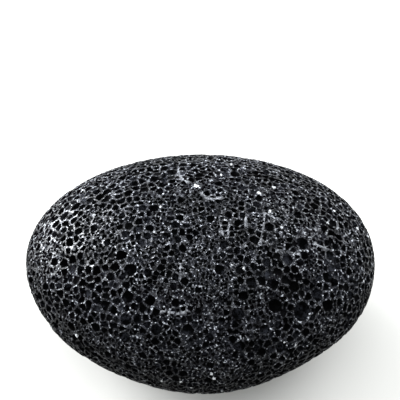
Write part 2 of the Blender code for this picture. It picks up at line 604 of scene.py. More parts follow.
@dataclass(frozen=True)
class Froth:
    """The froth that fills the surface between the broad pores: open cells and close-grained seams."""

    form: StoneForm
    ridges: Ridges
    crystals: Crystals
    patches: tuple[Patch, ...] = (
        Patch(-90.0, 68.0, 15.0, 0.55),
        Patch(-90.0, 50.0, 10.0, 0.60),
        Patch(60.0, 82.0, 12.0, 0.60),
        Patch(-90.0, 5.0, 24.0, 0.60),
        Patch(-38.0, 42.0, 22.0, 1.30),
        Patch(-135.0, 45.0, 20.0, 1.30),
        Patch(-158.0, 60.0, 15.0, 1.35),
        Patch(146.0, 58.0, 20.0, 1.50),
        Patch(150.0, 25.0, 25.0, 1.25),
        Patch(40.0, -30.0, 25.0, 0.75),
    )
    seed: int = 21
    open_radius: float = 0.00094
    close_radius: float = 0.00046
    seam_size: float = 0.0062
    seam_share: float = -0.06
    seam_edge: float = 0.12
    spread: float = 0.17
    most_radius: float = 0.00165
    closeness: float = 0.86
    grain_room: float = 0.80
    patch_pull: float = 0.35
    least_share: float = 0.85
    broad_deepening: float = 1.25
    passes: tuple[tuple[float, int], ...] = ((1.0, 30000), (0.80, 30000))
    chunk: int = 500
    shallow_share: float = 0.20
    shallow: tuple[float, float] = (0.45, 0.8)
    deep: tuple[float, float] = (1.1, 2.0)

    def local_radius(self, ways: np.ndarray, points: np.ndarray) -> np.ndarray:
        """Works out how coarse the froth is.

        Args:
            ways: one unit vector a row.
            points: the points of the surface that belong to them.

        Returns:
            The radius that bubbles want at each place.
        """
        grade = sum(math.log(patch.factor) * patch.nearness(ways) for patch in self.patches)
        seam = soft_noise(points, self.seam_size) + self.patch_pull * grade
        openness = smooth_step(seam, self.seam_share - self.seam_edge, self.seam_share + self.seam_edge)
        radius = self.close_radius + (self.open_radius - self.close_radius) * openness
        return radius * np.exp(self.patch_pull * grade)

    def _draw(self, dice: np.random.Generator, shrink: float) -> tuple[np.ndarray, np.ndarray, np.ndarray]:
        """Draws a chunk of bubbles, spread evenly over the surface.

        Args:
            dice: where the random numbers come from.
            shrink: the share of the wanted radius that they get.

        Returns:
            Their unit vectors, middles and radii.
        """
        fresh = unit_rows(dice.normal(size=(self.chunk, 3)))
        flat = np.array((1 / self.form.length, 1 / self.form.breadth, 1 / self.form.thickness))
        area = np.linalg.norm(fresh * flat, axis=1) * self.form.thickness
        fresh = fresh[dice.random(self.chunk) < area]
        points = self.form.skin(fresh)
        wanted = self.local_radius(fresh, points)
        wanted *= np.exp(self.spread * dice.normal(size=len(fresh)))
        return fresh, points, np.clip(wanted * shrink, self.close_radius * self.least_share, self.most_radius)

    def _clear(
        self, points: np.ndarray, wanted: np.ndarray, middles: np.ndarray, radii: np.ndarray
    ) -> list[int]:
        """Picks the bubbles that have room between the others, the ridges and the grains.

        Args:
            points: the middles of the new bubbles, one a row.
            wanted: their radii.
            middles: the middles of the bubbles before them.
            radii: the radii of those.

        Returns:
            The rows of the bubbles to keep.
        """
        apart = np.linalg.norm(points[:, None] - middles[None], axis=2)
        clear = (apart > self.closeness * (wanted[:, None] + radii[None])).all(axis=1)
        clear &= self.ridges.distances(points) > self.ridges.beside * wanted
        grains, grain_radii = self.crystals.make()
        from_grain = np.linalg.norm(points[:, None] - grains[None], axis=2)
        clear &= (from_grain > self.grain_room * (wanted[:, None] + grain_radii[None])).all(axis=1)
        kept: list[int] = []
        for row in np.flatnonzero(clear):
            near = np.linalg.norm(points[kept] - points[row], axis=1) if kept else np.ones(0)
            if (near > self.closeness * (wanted[kept] + wanted[row])).all():
                kept.append(row)
        return kept

    def make(self, pores: Bubbles) -> Bubbles:
        """Fills the surface round the broad pores, coarse bubbles first and fine ones into the gaps.

        Args:
            pores: the broad pores, which stay where they are.

        Returns:
            The broad pores, then the froth.
        """
        dice = np.random.default_rng(self.seed)
        ways, middles, radii = pores.ways, self.form.skin(pores.ways), pores.radii
        for shrink, tries in self.passes:
            for _ in range(tries // self.chunk):
                fresh, points, wanted = self._draw(dice, shrink)
                kept = self._clear(points, wanted, middles, radii)
                ways = np.vstack((ways, fresh[kept]))
                middles = np.vstack((middles, points[kept]))
                radii = np.append(radii, wanted[kept])
        own = radii[len(pores.ways):]
        low = dice.random(len(own)) < self.shallow_share
        share = np.where(low, dice.uniform(*self.shallow, len(own)), dice.uniform(*self.deep, len(own)))
        return Bubbles(
            ways,
            np.append(pores.widths, 2 * own),
            np.append(pores.heights, 2 * own),
            np.append(pores.depths * self.broad_deepening, share * own),
        )


Outline = list[tuple[float, float]]
CORNER_CUT = 0.25


@dataclass(frozen=True)
class Wall:
    """A wall between two bubbles, where it meets the surface, and the smaller radius and depth of both."""

    middle: np.ndarray
    normal: np.ndarray
    radius: float
    depth: float


def clip_outline(outline: Outline, across: float, up: float, reach: float) -> Outline:
    """Cuts a flat outline with a straight line.

    Args:
        outline: the corners, anticlockwise.
        across: first part of the unit vector that points out over the line.
        up: its second part.
        reach: how far the line is from the origin.

    Returns:
        What is left on the near side.
    """
    kept: Outline = []
    over = [x * across + y * up - reach for x, y in outline]
    for index, (x, y) in enumerate(outline):
        before, (last_x, last_y) = over[index - 1], outline[index - 1]
        here = over[index]
        if (here > 0) != (before > 0):
            share = before / (before - here)
            kept.append((last_x + share * (x - last_x), last_y + share * (y - last_y)))
        if here <= 0:
            kept.append((x, y))
    return kept


def round_outline(outline: Outline) -> Outline:
    """Cuts every corner of a flat outline.

    Args:
        outline: the corners, anticlockwise.

    Returns:
        Twice as many corners.
    """
    rounded: Outline = []
    for index, (x, y) in enumerate(outline):
        last_x, last_y = outline[index - 1]
        for share in (CORNER_CUT, 1 - CORNER_CUT):
            rounded.append(((1 - share) * last_x + share * x, (1 - share) * last_y + share * y))
    return rounded


def thin_outline(outline: Outline, most: int) -> Outline:
    """Drops the corners of a flat outline that matter least.

    Args:
        outline: the corners, anticlockwise.
        most: how many may stay.

    Returns:
        The corners that are left.
    """
    left = list(outline)
    while len(left) > most:
        areas = []
        for index, (x, y) in enumerate(left):
            (x0, y0), (x1, y1) = left[index - 1], left[(index + 1) % len(left)]
            areas.append(abs((x - x0) * (y1 - y0) - (x1 - x0) * (y - y0)))
        del left[areas.index(min(areas))]
    return left


def ring_faces(start: int, sides: int, rings: int) -> list[tuple[int, ...]]:
    """Closes rings of points that lie one under another, with a lid on top and a tip below.

    Args:
        start: the index of the first ring's first point.
        sides: how many points a ring has.
        rings: how many rings there are; the tip follows the last.

    Returns:
        The faces, turned outwards.
    """
    faces = [tuple(range(start, start + sides))]
    for ring in range(rings - 1):
        upper, lower = start + ring * sides, start + (ring + 1) * sides
        for side in range(sides):
            after = (side + 1) % sides
            faces.append((upper + side, lower + side, lower + after, upper + after))
    last = start + (rings - 1) * sides
    faces.extend((last + (side + 1) % sides, last + side, last + sides) for side in range(sides))
    return faces


@dataclass(frozen=True)
class Layout:
    """Where all the bubbles and ridges are: middles, normals and both ways along the surface."""

    middles: np.ndarray
    normals: np.ndarray
    across: np.ndarray
    upward: np.ndarray
    radii: np.ndarray
    tree: kdtree.KDTree
    stretches: list[tuple[np.ndarray, np.ndarray]]


@dataclass(frozen=True)
class Cell:
    """One bubble's place, and its neighbours by number, flat offset, distance and reach of the wall."""

    number: int
    middle: np.ndarray
    normal: np.ndarray
    across: np.ndarray
    upward: np.ndarray
    radius: float
    half_wall: float
    neighbours: list[tuple[int, tuple[float, float], float, float]]

    @property
    def narrowest(self) -> float:
        """How near the nearest wall is."""
        return min(reach for _, _, _, reach in self.neighbours)


@dataclass(frozen=True)
class BubbleCutter:
    """Closed bubbles of one joined mesh, each kept inside its own cell so that thin walls stay."""

    form: StoneForm
    ridges: Ridges
    seed: int = 5
    wall: float = 0.00011
    wall_of_radius: float = 0.070
    wall_spread: float = 0.30
    reach_over: float = 1.50
    rough: float = 0.07
    least_width: float = 0.00018
    lip: float = 0.0003
    lean: float = 0.22
    tightest: float = 0.012
    fine_to: float = 0.00062
    broad_from: float = 0.00135
    cap_sides: int = 14
    ridge_reach: float = 0.008
    ridge_overrun: float = 0.15
    upright: float = 0.95
    near_of_radius: float = 2.2
    near_least: float = 0.0034
    touch: float = 1e-7
    lean_narrow: float = 1.3
    lean_tip: float = 0.6

    def _lay_out(self, bubbles: Bubbles) -> Layout:
        """Works out the bubbles' places and flat axes.

        Args:
            bubbles: every bubble of the surface.

        Returns:
            Their layout, with that of the ridges.
        """
        middles, normals = self.form.skin(bubbles.ways), self.form.normals(bubbles.ways)
        level = np.where(np.abs(normals[:, 2:]) < self.upright, [[0, 0, 1.0]], [[0, 1.0, 0]])
        across = unit_rows(np.cross(level, normals))
        upward = np.cross(normals, across)
        tree, stretches = tree_of(middles), self.ridges.stretches()
        return Layout(middles, normals, across, upward, bubbles.radii, tree, stretches)

    def _cell(self, number: int, layout: Layout, dice: random.Random) -> Cell:
        """Finds the walls round one bubble.

        Args:
            number: the bubble's row.
            layout: where all the bubbles are.
            dice: where the random numbers come from.

        Returns:
            The bubble's cell.
        """
        own, middle = layout.radii[number], layout.middles[number]
        across, upward = layout.across[number], layout.upward[number]
        found = layout.tree.find_range(middle, self.near_of_radius * own + self.near_least)
        near = [other for _, other, _ in found if other != number]
        offsets = layout.middles[near] - middle
        flat = np.stack((offsets @ across, offsets @ upward), axis=1)
        apart = np.linalg.norm(flat, axis=1)
        half_wall = (self.wall + self.wall_of_radius * own) / 2 * math.exp(dice.gauss(0, self.wall_spread))
        reaches = (apart**2 + own**2 - layout.radii[near] ** 2) / (2 * apart) - half_wall
        neighbours = list(zip(near, flat.tolist(), apart.tolist(), reaches.tolist()))
        return Cell(number, middle, layout.normals[number], across, upward, own, half_wall, neighbours)

    def _clip_at_ridge(
        self, outline: Outline, cell: Cell, first: np.ndarray, last: np.ndarray
    ) -> Outline:
        """Keeps a bubble on its own side of one stretch of a ridge.

        Args:
            outline: the bubble's flat outline.
            cell: its place.
            first: where the stretch starts.
            last: where it ends.

        Returns:
            The outline, cut where the ridge crosses it.
        """
        plane = (cell.across, cell.upward)
        start = np.array([(first - cell.middle) @ side for side in plane])
        run = np.array([(last - cell.middle) @ side for side in plane]) - start
        share = -(start @ run) / (run @ run)
        foot = start + share * run
        far = float(np.linalg.norm(foot))
        beside = -self.ridge_overrun < share < 1 + self.ridge_overrun
        if not beside or far < self.least_width + self.ridges.half_wall:
            return outline
        return clip_outline(outline, foot[0] / far, foot[1] / far, far - self.ridges.half_wall)

    def _outline(self, cell: Cell, layout: Layout, size: tuple[float, float], dice: random.Random) -> Outline:
        """Draws a bubble at the surface: an ellipse, cut where its walls and the ridges are.

        Args:
            cell: the bubble's place and neighbours.
            layout: where the ridges are.
            size: its width and height.
            dice: where the random numbers come from.

        Returns:
            Its flat outline.
        """
        turned = dice.random()
        wide, high = size[0] / 2 * self.reach_over, size[1] / 2 * self.reach_over
        outline: Outline = []
        for side in range(self.cap_sides):
            turn = (side + turned) * 2 * math.pi / self.cap_sides
            outline.append((wide * math.cos(turn), high * math.sin(turn)))
        for _, (x, y), far, reach in cell.neighbours:
            outline = clip_outline(outline, x / far, y / far, reach)
        for first, last in layout.stretches:
            if np.linalg.norm((first + last) / 2 - cell.middle) < self.ridge_reach:
                outline = self._clip_at_ridge(outline, cell, first, last)
        return outline

    def _walls(self, cell: Cell, outline: Outline, radii: np.ndarray, depths: np.ndarray) -> list[Wall]:
        """Finds the walls between a bubble and its neighbours of a higher number.

        Args:
            cell: the bubble's place and neighbours.
            outline: its flat outline.
            radii: the radius of every bubble.
            depths: the depth of every bubble.

        Returns:
            The walls that the outline lies along.
        """
        found = []
        for other, (x, y), far, reach in cell.neighbours:
            touching = sum((x * a + y * b) / far > reach - self.touch for a, b in outline)
            if other > cell.number and touching > 1:
                place = (x * cell.across + y * cell.upward) * (reach + cell.half_wall) / far
                depth = min(depths[cell.number], depths[other])
                found.append(Wall(cell.middle + place, cell.normal, min(cell.radius, radii[other]), depth))
        return found

    def _rings(self, cell: Cell, outline: Outline, depth: float, dice: random.Random) -> list[np.ndarray]:
        """Models a bubble from its lip over the surface down to its tip.

        Args:
            cell: the bubble's place.
            outline: its flat outline.
            depth: how deep it goes.
            dice: where the random numbers come from.

        Returns:
            The points of each ring, one a row, and last the tip.
        """
        rim = np.array([(1 - self.rough * dice.random()) * np.array(corner) for corner in outline])
        lean = np.array((dice.uniform(-1, 1), dice.uniform(-1, 1))) * self.lean * cell.radius
        rings = [(-self.lip, 1.0, 0.0)]
        for share, width in self.kind(cell.radius).rings:
            rings.append((share * depth, width * (1 - share * depth / self.tightest), share))
        placed = []
        for sink, width, tilt in rings:
            plane = rim * width + lean * tilt**2 * (self.lean_narrow - width)
            level = cell.middle + plane[:, :1] * cell.across + plane[:, 1:] * cell.upward
            placed.append(level - sink * cell.normal)
        under = cell.middle + lean[0] * self.lean_tip * cell.across + lean[1] * self.lean_tip * cell.upward
        placed.append((under - depth * cell.normal)[None])
        return placed

    def kind(self, radius: float) -> PoreKind:
        """Chooses how finely a bubble is made.

        Args:
            radius: the bubble's radius.

        Returns:
            The kind that suits it.
        """
        if radius < self.fine_to:
            return PoreKind.FINE
        return PoreKind.BROAD if radius > self.broad_from else PoreKind.MIDDLE

    def make(self, bubbles: Bubbles) -> tuple[bpy.types.Object, list[Wall]]:
        """Builds the cutter.

        Args:
            bubbles: every bubble of the surface.

        Returns:
            The mesh object, and the walls that it leaves between bubbles.
        """
        dice = random.Random(self.seed)
        layout = self._lay_out(bubbles)
        walls: list[Wall] = []
        points: list[np.ndarray] = []
        faces: list[tuple[int, ...]] = []
        start = 0
        for number, (width, height, depth) in enumerate(zip(bubbles.widths, bubbles.heights, bubbles.depths)):
            cell = self._cell(number, layout, dice)
            if cell.narrowest < self.least_width:
                continue
            outline = self._outline(cell, layout, (width, height), dice)
            walls.extend(self._walls(cell, outline, layout.radii, bubbles.depths))
            kind = self.kind(cell.radius)
            for _ in range(kind.roundings):
                outline = round_outline(outline)
            outline = thin_outline(outline, kind.sides)
            *rings, tip = self._rings(cell, outline, depth, dice)
            points.extend((*rings, tip))
            faces.extend(ring_faces(start, len(outline), len(rings)))
            start += len(rings) * len(outline) + 1
        return joined("bubble_cutter", np.vstack(points), faces), walls


@dataclass(frozen=True)
class WallBreaks:
    """Small holes that open walls between bubbles, at the rim and further down."""

    rounds: int = 2
    seed: int = 3
    rim_share: float = 0.16
    rim_size: tuple[float, float] = (0.42, 0.70)
    rim_sink: tuple[float, float] = (-0.10, 0.30)
    window_share: float = 0.16
    window_size: tuple[float, float] = (0.30, 0.46)
    window_sink: tuple[float, float] = (0.45, 0.70)
    least_radius: float = 0.00028
    stretch: tuple[float, float] = (0.85, 1.0)
    clear: float = 0.00003
    grid: float = 0.0016

    def make(self, walls: list[Wall]) -> bpy.types.Object:
        """Builds the cutter.

        Args:
            walls: the walls that the bubbles left.

        Returns:
            The mesh object of disjoint little balls.
        """
        dice = random.Random(self.seed)
        shape, shape_faces = ball_pattern(self.rounds)
        taken: dict[tuple[int, int, int], list[tuple[Vector, float]]] = defaultdict(list)
        points: list[np.ndarray] = []
        for wall in walls:
            chance = dice.random()
            if chance < self.rim_share:
                radius = dice.uniform(*self.rim_size) * wall.radius
                sink = dice.uniform(*self.rim_sink) * wall.radius
            elif chance < self.rim_share + self.window_share:
                radius = dice.uniform(*self.window_size) * wall.radius
                sink = dice.uniform(*self.window_sink) * wall.depth
            else:
                continue
            radius = max(radius, self.least_radius)
            middle = Vector(wall.middle - wall.normal * sink)
            key = tuple(int(math.floor(value / self.grid)) for value in middle)
            boxes = [(key[0] + i, key[1] + j, key[2] + k) for i, j, k in product((-1, 0, 1), repeat=3)]
            around = [ball for box in boxes for ball in taken.get(box, ())]
            if any((middle - other).length < radius + size + self.clear for other, size in around):
                continue
            taken[key].append((middle, radius))
            stretch = np.array([dice.uniform(*self.stretch) for _ in range(3)])
            points.append(shape * stretch * radius + np.array(middle))
        return joined_copies("wall_breaks", points, shape_faces)


class Change(Enum):
    """What other closed shapes do to the stone."""

    CUT = "DIFFERENCE"
    JOIN = "UNION"


@dataclass(frozen=True)
class PumiceStone:
    """The stone itself: a tumbled ball, cut by its bubbles, lowered here and there and worn flat."""

    form: StoneForm
    ridges: Ridges
    crystals: Crystals
    ball_rounds: int = 5
    most_triangles: int = 196000
    snap: float = 0.00006
    dip: float = 0.00050
    dip_size: float = 0.0022
    dip_fades: float = 0.0008
    dip_share: float = 0.1
    fine_dips: float = 0.5
    fine_dip_scale: float = 2.3
    sharp_angle: float = 38.0
    tone_seed: int = 11
    mends: int = 3

    def make(self) -> bpy.types.Object:
        """Builds the finished piece.

        Returns:
            The stone, at the origin with its place in its mesh.
        """
        pores = BroadPores(self.form).make()
        bubbles = Froth(self.form, self.ridges, self.crystals).make(pores)
        cutter, walls = BubbleCutter(self.form, self.ridges).make(bubbles)
        log.info("bubbles: %d broad, %d in all, %d walls", len(pores.ways), len(bubbles.ways), len(walls))
        stone = self._ball()
        self._change(stone, cutter, Change.CUT)
        self._change(stone, WallBreaks().make(walls), Change.CUT)
        self._change(stone, self.crystals.chips(), Change.JOIN)
        self._keep_largest(stone)
        self._thin(stone)
        self._mend(stone)
        self._settle(stone, bubbles)
        return stone

    def _ball(self) -> bpy.types.Object:
        """Adds a ball and gives it the stone's outside.

        Returns:
            The ball's object.
        """
        ball = add_ball(self.ball_rounds)
        ball.name = ball.data.name = "pumice_froth"
        write_points(ball.data, self.form.skin(unit_rows(read_points(ball.data))))
        return ball

    def _change(self, stone: bpy.types.Object, other: bpy.types.Object, change: Change) -> None:
        """Cuts closed shapes out of the stone or joins them to it.

        Args:
            stone: the stone's object.
            other: the object of the shapes, which is used up.
            change: what they do.
        """
        step = stone.modifiers.new("change", "BOOLEAN")
        step.operation = change.value
        step.solver = "MANIFOLD"
        step.object = other
        bpy.context.view_layer.objects.active = stone
        bpy.ops.object.modifier_apply(modifier=step.name)
        bpy.data.objects.remove(other)

    def _thin(self, stone: bpy.types.Object) -> None:
        """Thins the mesh where it is flattest, down to the triangles that a piece may have.

        Args:
            stone: the stone's object.
        """
        triangles = sum(len(face.vertices) - 2 for face in stone.data.polygons)
        thin = stone.modifiers.new("thin", "DECIMATE")
        thin.ratio = min(1.0, self.most_triangles / triangles)
        thin.use_collapse_triangulate = True
        bpy.ops.object.modifier_apply(modifier=thin.name)
        log.info("froth: %d triangles from %d", len(stone.data.polygons), triangles)

    def _keep_largest(self, stone: bpy.types.Object) -> None:
        """Takes away crumbs and closed hollows, which hang on to nothing.

        Args:
            stone: the stone's object.
        """
        points = read_points(stone.data)
        chosen = np.zeros(len(points), bool)
        chosen[points[:, 0].argmax()] = True
        self._choose(stone, chosen)
        bpy.ops.mesh.select_linked()
        bpy.ops.mesh.select_all(action="INVERT")
        bpy.ops.mesh.delete(type="VERT")
        bpy.ops.object.mode_set(mode="OBJECT")

    def _mend(self, stone: bpy.types.Object) -> None:
        """Closes the few places where thinning left the mesh open or folded.

        Args:
            stone: the stone's object.
        """
        for _ in range(self.mends):
            self._choose(stone, np.zeros(len(stone.data.vertices), bool))
            bpy.ops.mesh.select_non_manifold()
            bpy.ops.mesh.delete(type="VERT")
            bpy.ops.mesh.select_non_manifold()
            bpy.ops.mesh.fill_holes(sides=0)
            bpy.ops.mesh.quads_convert_to_tris()
            bpy.ops.object.mode_set(mode="OBJECT")
        self._keep_largest(stone)

    @staticmethod
    def _choose(stone: bpy.types.Object, chosen: np.ndarray) -> None:
        """Goes into edit mode with only some vertices selected.

        Args:
            stone: the stone's object.
            chosen: whether each vertex is.
        """
        bpy.ops.object.select_all(action="DESELECT")
        stone.select_set(True)
        bpy.context.view_layer.objects.active = stone
        bpy.ops.object.mode_set(mode="EDIT")
        bpy.ops.mesh.select_mode(type="VERT")
        bpy.ops.mesh.select_all(action="DESELECT")
        bpy.ops.object.mode_set(mode="OBJECT")
        stone.data.vertices.foreach_set("select", chosen)
        bpy.ops.object.mode_set(mode="EDIT")

    def _grains(self, skins: np.ndarray) -> np.ndarray:
        """Marks the pale grains.

        Args:
            skins: the point of the surface over each vertex.

        Returns:
            A number for each vertex: 2 in the middle of a grain, 1 at its edge, and less outside it.
        """
        marks = np.zeros(len(skins))
        for middle, radius in zip(*self.crystals.make()):
            marks = np.maximum(marks, 2 - np.linalg.norm(skins - middle, axis=1) / radius)
        return marks

    def _tones(self, skins: np.ndarray, bubbles: Bubbles) -> np.ndarray:
        """Tells the bubbles apart.

        Args:
            skins: the point of the surface over each vertex.
            bubbles: every bubble of the surface.

        Returns:
            A number from 0 to 1 for each vertex, the same all through one bubble.
        """
        tree = tree_of(self.form.skin(bubbles.ways))
        shares = np.random.default_rng(self.tone_seed).random(len(bubbles.ways))
        return np.array([shares[tree.find(point)[1]] for point in skins])

    def _dips(self, points: np.ndarray, depths: np.ndarray) -> np.ndarray:
        """Works out how far walls are worn down below their neighbours.

        Args:
            points: the mesh's points, one a row.
            depths: how deep each is under the surface.

        Returns:
            How far each is lowered.
        """
        fine = soft_noise(points, self.dip_size, self.fine_dip_scale)
        rough = soft_noise(points, self.dip_size) + self.fine_dips * fine
        fade = 1 - smooth_step(depths, 0.0, self.dip_fades)
        return self.dip * np.clip(rough + self.dip_share, 0, 1) * fade

    def _settle(self, stone: bpy.types.Object, bubbles: Bubbles) -> None:
        """Lowers worn walls, adds the swellings, wears the underside flat and notes what each vertex is.

        Args:
            stone: the stone's object.
            bubbles: every bubble of the surface.
        """
        mesh = stone.data
        points = read_points(mesh)
        ways, depths = self.form.locate(points)
        normals = self.form.normals(ways)
        on_top = depths < self.snap
        points[on_top] += depths[on_top, None] * normals[on_top]
        depths[on_top] = 0.0
        skins = self.form.skin(ways)
        on_ridge = self.ridges.marks(skins)
        dips = self._dips(points, depths) * (1 - on_ridge)
        points -= dips[:, None] * normals
        points += self.form.swell(ways)[:, None] * ways
        points[:, 2] += self.form.middle_height
        points = np.clip(points, *map(np.array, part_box(NODE)))
        write_points(mesh, points)
        add_attribute(mesh, "depth", depths / MM)
        add_attribute(mesh, "tone", self._tones(skins, bubbles))
        add_attribute(mesh, "ridge", on_ridge)
        add_attribute(mesh, "grain", self._grains(skins))
        bpy.ops.object.shade_smooth_by_angle(angle=math.radians(self.sharp_angle))


Socket = bpy.types.NodeSocket
Colour = tuple[float, float, float]
RIM_LEAST = 0.5


@dataclass
class NodeDesk:
    """A node tree with short ways to add and join its nodes."""

    tree: bpy.types.NodeTree

    def put(self, target: Socket, value: object) -> None:
        """Fills a socket.

        Args:
            target: the socket.
            value: another socket, which is linked to it, or its plain value.
        """
        if isinstance(value, bpy.types.NodeSocket):
            self.tree.links.new(value, target)
        else:
            target.default_value = value

    def add(self, kind: str, **inputs: object) -> bpy.types.Node:
        """Adds a node.

        Args:
            kind: the node's type.
            **inputs: what goes into its sockets, by name with underscores for spaces.

        Returns:
            The node.
        """
        node = self.tree.nodes.new(kind)
        for name, value in inputs.items():
            self.put(node.inputs[name.replace("_", " ")], value)
        return node

    def place(self, group: bpy.types.NodeTree, **inputs: object) -> bpy.types.NodeOutputs:
        """Places a node group.

        Args:
            group: the group.
            **inputs: what goes into its sockets, by name.

        Returns:
            Its outputs.
        """
        node = self.tree.nodes.new("ShaderNodeGroup")
        node.node_tree = group
        for name, value in inputs.items():
            self.put(node.inputs[name], value)
        return node.outputs

    def read(self, attribute: str) -> Socket:
        """Reads a number that the mesh holds for each vertex.

        Args:
            attribute: its name.

        Returns:
            The number.
        """
        node = self.tree.nodes.new("ShaderNodeAttribute")
        node.attribute_name = attribute
        return node.outputs["Fac"]

    def math(self, operation: str, first: object, second: object = 0.0, third: object = 0.0) -> Socket:
        """Works out one number from up to three.

        Args:
            operation: what is done.
            first: the first number or socket.
            second: the second.
            third: the third.

        Returns:
            The result.
        """
        node = self.tree.nodes.new("ShaderNodeMath")
        node.operation = operation
        for socket, value in zip(node.inputs, (first, second, third)):
            self.put(socket, value)
        return node.outputs[0]

    def times(self, first: object, second: object) -> Socket:
        """Multiplies two numbers."""
        return self.math("MULTIPLY", first, second)

    def line(self, value: object, slope: object, start: object) -> Socket:
        """Multiplies a number by the slope and adds the start."""
        return self.math("MULTIPLY_ADD", value, slope, start)

    def blend(self, first: Socket, second: Socket, share: float) -> Socket:
        """Adds this share of the second number to what is left of the first."""
        return self.math("ADD", self.times(first, 1 - share), self.times(second, share))

    def step(self, value: object, low: object, high: object) -> Socket:
        """Eases a number from 0 to 1.

        Args:
            value: the number.
            low: where it is 0.
            high: where it is 1.

        Returns:
            The eased number.
        """
        node = self.add("ShaderNodeMapRange", Value=value, From_Min=low, From_Max=high)
        node.interpolation_type = "SMOOTHSTEP"
        return node.outputs["Result"]

    def mix(self, share: object, first: object, second: object) -> Socket:
        """Mixes two colours.

        Args:
            share: how much of the second there is.
            first: the first colour, as a socket or red, green and blue.
            second: the second colour.

        Returns:
            The mixed colour.
        """
        node = self.tree.nodes.new("ShaderNodeMix")
        node.data_type = "RGBA"
        for name, value in (("Factor", share), ("A", first), ("B", second)):
            socket = next(s for s in node.inputs if s.name == name and s.enabled)
            self.put(socket, (*value, 1) if isinstance(value, tuple) else value)
        return next(s for s in node.outputs if s.enabled)

    def scale(self, colour: object, factor: object) -> Socket:
        """Makes a colour lighter or darker.

        Args:
            colour: the colour.
            factor: what it is multiplied by.

        Returns:
            The new colour.
        """
        node = self.tree.nodes.new("ShaderNodeVectorMath")
        node.operation = "SCALE"
        self.put(node.inputs[0], colour)
        self.put(node.inputs["Scale"], factor)
        return node.outputs[0]

    def noise(self, vector: Socket, scale: float, detail: float) -> Socket:
        """Soft noise between 0 and 1."""
        return self.add("ShaderNodeTexNoise", Vector=vector, Scale=scale, Detail=detail).outputs["Fac"]

    def cells(self, vector: Socket, scale: object) -> bpy.types.Node:
        """Random cells: distance to the nearest middle, and a colour for each."""
        return self.add("ShaderNodeTexVoronoi", Vector=vector, Scale=scale)


def new_group(
    name: str, inputs: dict[str, tuple[str, object]], outputs: dict[str, str]
) -> bpy.types.NodeTree:
    """Starts a shader node group.

    Args:
        name: the group's name.
        inputs: each input's socket type and default value, by name.
        outputs: each output's socket type, by name.

    Returns:
        The group, with its input and output nodes in place.
    """
    group = bpy.data.node_groups.new(name, "ShaderNodeTree")
    for label, (kind, default) in inputs.items():
        socket = group.interface.new_socket(label, in_out="INPUT", socket_type=kind)
        if default is not None:
            socket.default_value = default
    for label, kind in outputs.items():
        group.interface.new_socket(label, in_out="OUTPUT", socket_type=kind)
    group.nodes.new("NodeGroupInput")
    group.nodes.new("NodeGroupOutput")
    return group


@dataclass(frozen=True)
class MicroFroth:
    """Pinholes too fine for the mesh, in two sizes."""

    fineness: tuple[float, float] = (1.0, 2.3)
    own_reach: float = 0.30
    shared_reach: float = 0.45
    soft_edge: float = 0.6
    fine_share: float = 0.8

    def make(self) -> bpy.types.NodeTree:
        """Builds the node group.

        Returns:
            The group, which turns a place, a pitch and a share into a mask of holes and a height for bump.
        """
        group = new_group(
            "micro_froth",
            {
                "Vector": ("NodeSocketVector", None),
                "Pitch": ("NodeSocketFloat", 0.0007),
                "Share": ("NodeSocketFloat", 0.5),
            },
            {"Holes": "NodeSocketFloat", "Height": "NodeSocketFloat"},
        )
        desk = NodeDesk(group)
        given, out = group.nodes["Group Input"].outputs, group.nodes["Group Output"].inputs
        scale = desk.math("DIVIDE", 1.0, given["Pitch"])
        holes, heights = [], []
        for finer in self.fineness:
            cells = desk.cells(given["Vector"], desk.times(scale, finer))
            size = desk.add("ShaderNodeSeparateColor", Color=cells.outputs["Color"]).outputs["Red"]
            reach = desk.line(size, self.own_reach, desk.times(given["Share"], self.shared_reach))
            holes.append(desk.step(cells.outputs["Distance"], reach, desk.times(reach, self.soft_edge)))
            heights.append(desk.times(holes[-1], -1.0 / finer))
        desk.put(out["Holes"], desk.math("MAXIMUM", holes[0], desk.times(holes[1], self.fine_share)))
        desk.put(out["Height"], desk.math("ADD", *heights))
        return group


def worn_rim_and_pore_shade_group() -> bpy.types.NodeTree:
    """Builds the node group for the walls near the surface, which tumbling has rubbed bare; what lies deeper
    in the pores is left to painted shade.

    Returns:
        The group, which turns a depth, a reach and an unevenness into a mask.
    """
    group = new_group(
        "worn_rim_and_pore_shade",
        {
            "Depth": ("NodeSocketFloat", 0.0),
            "Reach": ("NodeSocketFloat", 0.2),
            "Unevenness": ("NodeSocketFloat", 0.5),
        },
        {"Mask": "NodeSocketFloat"},
    )
    desk = NodeDesk(group)
    given, out = group.nodes["Group Input"].outputs, group.nodes["Group Output"].inputs
    reach = desk.times(given["Reach"], desk.math("ADD", RIM_LEAST, given["Unevenness"]))
    desk.put(out["Mask"], desk.step(given["Depth"], reach, 0.0))
    return group


@dataclass(frozen=True)
class LavaMasks:
    """Numbers that change over the stone, which its colour, gloss and relief share.

    Depth is in millimetres under the surface, and tone differs from bubble to bubble.
    """

    depth: Socket
    tone: Socket
    ridge: Socket
    speck: Socket
    patchy: Socket
    mottled: Socket
    grain: Socket
    shine: Socket
    rim: Socket
    holes: Socket
    hole_height: Socket
    painted_low_shade: Socket


